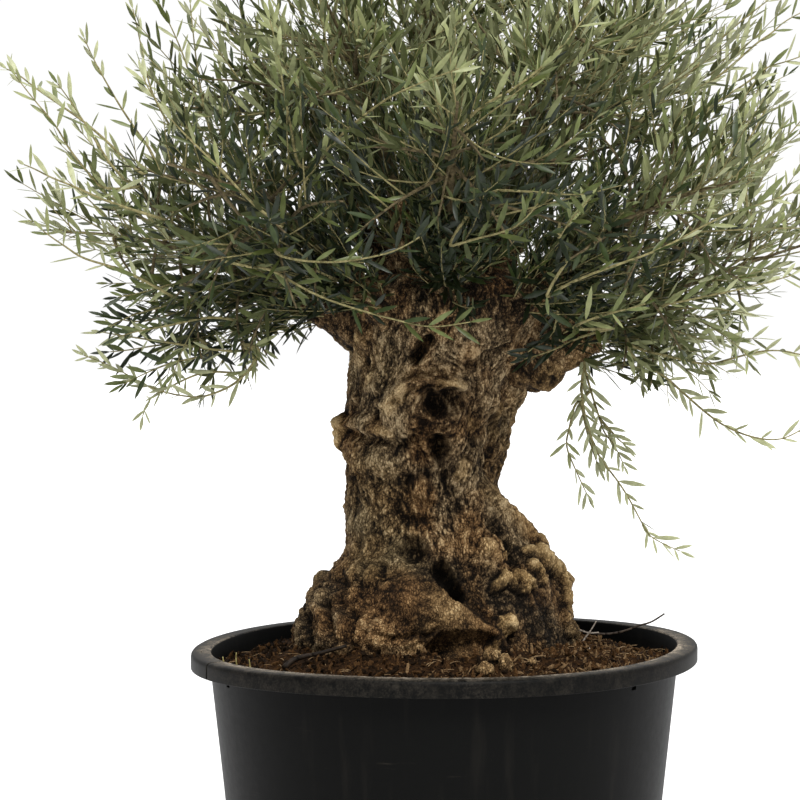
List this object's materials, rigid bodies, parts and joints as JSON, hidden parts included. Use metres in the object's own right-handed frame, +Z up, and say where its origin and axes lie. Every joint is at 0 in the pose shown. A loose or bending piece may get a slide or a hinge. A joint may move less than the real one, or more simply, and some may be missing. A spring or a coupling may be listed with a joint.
{
  "type": "potted olive bonsai tree",
  "caption": "Old olive bonsai with a burled, hollowed trunk, short thick boughs and a wide airy crown of narrow leaves, standing in a round black nursery tub of soil.",
  "frame": {"origin": "on the floor, at the middle of the tub's flat underside", "axes": "+Z up, -Y towards the side of the tree with the open knotholes, +X to the right seen from that side"},
  "size_m": [1.2044, 1.1602, 1.509],
  "materials": {
    "tub_plastic": "satin",
    "soil": "matte",
    "bark": "matte",
    "leaves": "satin"
  },
  "bodies": {
    "root": {"tub": "tub_plastic", "soil": "soil", "trunk": "bark", "bough_right": "bark", "bough_back_right": "bark", "bough_back": "bark", "bough_back_left": "bark", "bough_left": "bark", "bough_front_left": "bark", "bough_front": "bark", "bough_front_right": "bark", "bough_upper_right": "bark", "bough_upper_back": "bark", "bough_upper_left": "bark", "bough_upper_front_left": "bark", "bough_upper_front_right": "bark", "bough_top": "bark", "foliage_right": "leaves", "foliage_back_right": "leaves", "foliage_back": "leaves", "foliage_back_left": "leaves", "foliage_left": "leaves", "foliage_front_left": "leaves", "foliage_front": "leaves", "foliage_front_right": "leaves", "foliage_upper_right": "leaves", "foliage_upper_back": "leaves", "foliage_upper_left": "leaves", "foliage_upper_front_left": "leaves", "foliage_upper_front_right": "leaves", "foliage_top": "leaves", "foliage_hanging": "leaves"}
  },
  "joints": []
}
